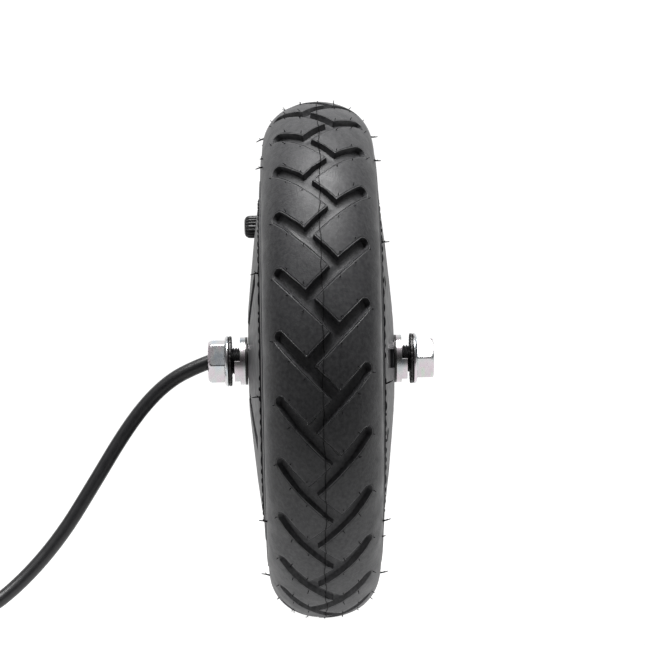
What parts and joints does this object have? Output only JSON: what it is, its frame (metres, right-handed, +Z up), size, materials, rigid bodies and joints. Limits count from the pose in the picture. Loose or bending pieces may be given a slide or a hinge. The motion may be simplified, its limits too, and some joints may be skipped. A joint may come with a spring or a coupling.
{
  "type": "hub motor wheel",
  "caption": "Outrunner hub motor in a small air-filled scooter wheel: the drum and tyre turn about a fixed hollow axle that carries the stator, with a nut at each end and a cable out of one.",
  "frame": {"origin": "centre of the wheel, on the axle's axis midway between the two nut ends", "axes": "+Y along the axle, away from the cable; +Z up; the wheel stands on its tyre at the lowest Z"},
  "size_m": [0.226, 0.2859, 0.226],
  "materials": {
    "tyre": "satin moulded rubber",
    "tube_rubber": "smooth butyl",
    "hub_paint": "semi-gloss black powder coat on die-cast aluminium",
    "zinc": "bright blue-passivated zinc plate",
    "black_steel": "black oxide steel",
    "axle_steel": "dark hardened steel",
    "bearing_steel": "ground bearing steel",
    "brass": "machined brass",
    "seal_rubber": "moulded nitrile rubber",
    "plain_steel": "laminated electrical steel",
    "magnet": "nickel-plated magnets",
    "aluminium": "cast aluminium",
    "copper": "enamelled copper wire",
    "insulator": "glass-filled nylon",
    "board": "circuit board",
    "black_plastic": "moulded black plastic",
    "cage": "nylon bearing cage",
    "cable": "black PVC jacket",
    "lead_wire": "silicone lead insulation"
  },
  "bodies": {
    "axle": {"axle": "axle_steel", "stator_core": "plain_steel", "stator_insulators": "insulator", "stator_spider": "aluminium", "stator_circlip": "black_steel", "winding_phase_a": "copper", "winding_phase_b": "copper", "winding_phase_c": "copper", "hall_board": "board", "hall_sensors": "black_plastic", "cable_inner": "cable", "cable_seal": "seal_rubber", "phase_leads": "lead_wire", "hall_lead": "lead_wire", "motor_cable": "cable", "cable_coil": "cable", "cable_tie": "black_plastic", "cable_tail": "cable", "connector_boot": "seal_rubber", "connector_body": "black_plastic", "connector_pins": "brass", "left_bearing_inner_ring": "bearing_steel", "left_spacer_bush": "black_steel", "left_dust_ring": "black_steel", "left_collar": "zinc", "right_bearing_inner_ring": "bearing_steel", "right_spacer_bush": "black_steel", "right_dust_ring": "black_steel", "right_collar": "zinc"},
    "wheel": {"tyre": "tyre", "inner_tube": "tube_rubber", "valve_stem": "brass", "valve_core": "brass", "hub_shell": "hub_paint", "side_cover": "hub_paint", "cover_seal_ring": "seal_rubber", "cover_screws": "black_steel", "flux_ring": "plain_steel", "rotor_magnets": "magnet", "left_bearing_outer_ring": "bearing_steel", "left_bearing_shields": "seal_rubber", "left_lip_seal": "seal_rubber", "right_bearing_outer_ring": "bearing_steel", "right_bearing_shields": "seal_rubber", "right_lip_seal": "seal_rubber"},
    "left_bearing_set": {"left_bearing_balls": "bearing_steel", "left_bearing_cage": "cage"},
    "right_bearing_set": {"right_bearing_balls": "bearing_steel", "right_bearing_cage": "cage"},
    "left_washer": {"left_washer": "black_steel"},
    "right_washer": {"right_washer": "black_steel"},
    "left_nut": {"left_nut": "zinc"},
    "right_nut": {"right_nut": "zinc"},
    "valve_cap_seal": {"valve_cap_seal": "seal_rubber"},
    "valve_cap": {"valve_cap": "black_plastic"},
    "valve_pin": {"valve_pin": "brass"}
  },
  "joints": [
    {"name": "wheel_spin", "type": "hinge", "parent": "axle", "child": "wheel", "pos_m": [0, 0, 0], "axis": [0, 1, 0], "continuous": true},
    {"name": "left_bearing_roll", "type": "hinge", "parent": "axle", "child": "left_bearing_set", "pos_m": [0, -0.024, 0], "axis": [0, 1, 0], "continuous": true},
    {"name": "right_bearing_roll", "type": "hinge", "parent": "axle", "child": "right_bearing_set", "pos_m": [0, 0.024, 0], "axis": [0, 1, 0], "continuous": true},
    {"name": "left_nut_travel", "type": "slide", "parent": "axle", "child": "left_washer", "axis": [0, -1, 0], "range_m": [-0.00125, 0.005]},
    {"name": "left_nut_turn", "type": "hinge", "parent": "left_washer", "child": "left_nut", "pos_m": [0, -0.045, 0], "axis": [0, -1, 0], "range_deg": [-360, 1440]},
    {"name": "right_nut_travel", "type": "slide", "parent": "axle", "child": "right_washer", "axis": [0, 1, 0], "range_m": [-0.00125, 0.0125]},
    {"name": "right_nut_turn", "type": "hinge", "parent": "right_washer", "child": "right_nut", "pos_m": [0, 0.045, 0], "axis": [0, 1, 0], "range_deg": [-360, 3600]},
    {"name": "valve_cap_travel", "type": "slide", "parent": "wheel", "child": "valve_cap_seal", "axis": [0, -1, 0], "range_m": [0, 0.01191]},
    {"name": "valve_cap_turn", "type": "hinge", "parent": "valve_cap_seal", "child": "valve_cap", "pos_m": [0, -0.028, 0.059], "axis": [0, -1, 0], "range_deg": [0, 5400]},
    {"name": "valve_pin_press", "type": "slide", "parent": "wheel", "child": "valve_pin", "axis": [0, 1, 0], "range_m": [0, 0.0015], "stiffness_N_per_m": 1500, "springref_m": -0.001}
  ],
  "couplings": [
    {"joint": "left_bearing_roll", "follows": "wheel_spin", "ratio": 0.619},
    {"joint": "right_bearing_roll", "follows": "wheel_spin", "ratio": 0.619},
    {"joint": "left_nut_turn", "follows": "left_nut_travel", "rad_per_m": 5026.5},
    {"joint": "right_nut_turn", "follows": "right_nut_travel", "rad_per_m": 5026.5},
    {"joint": "valve_cap_turn", "follows": "valve_cap_travel", "rad_per_m": 7915.8}
  ]
}
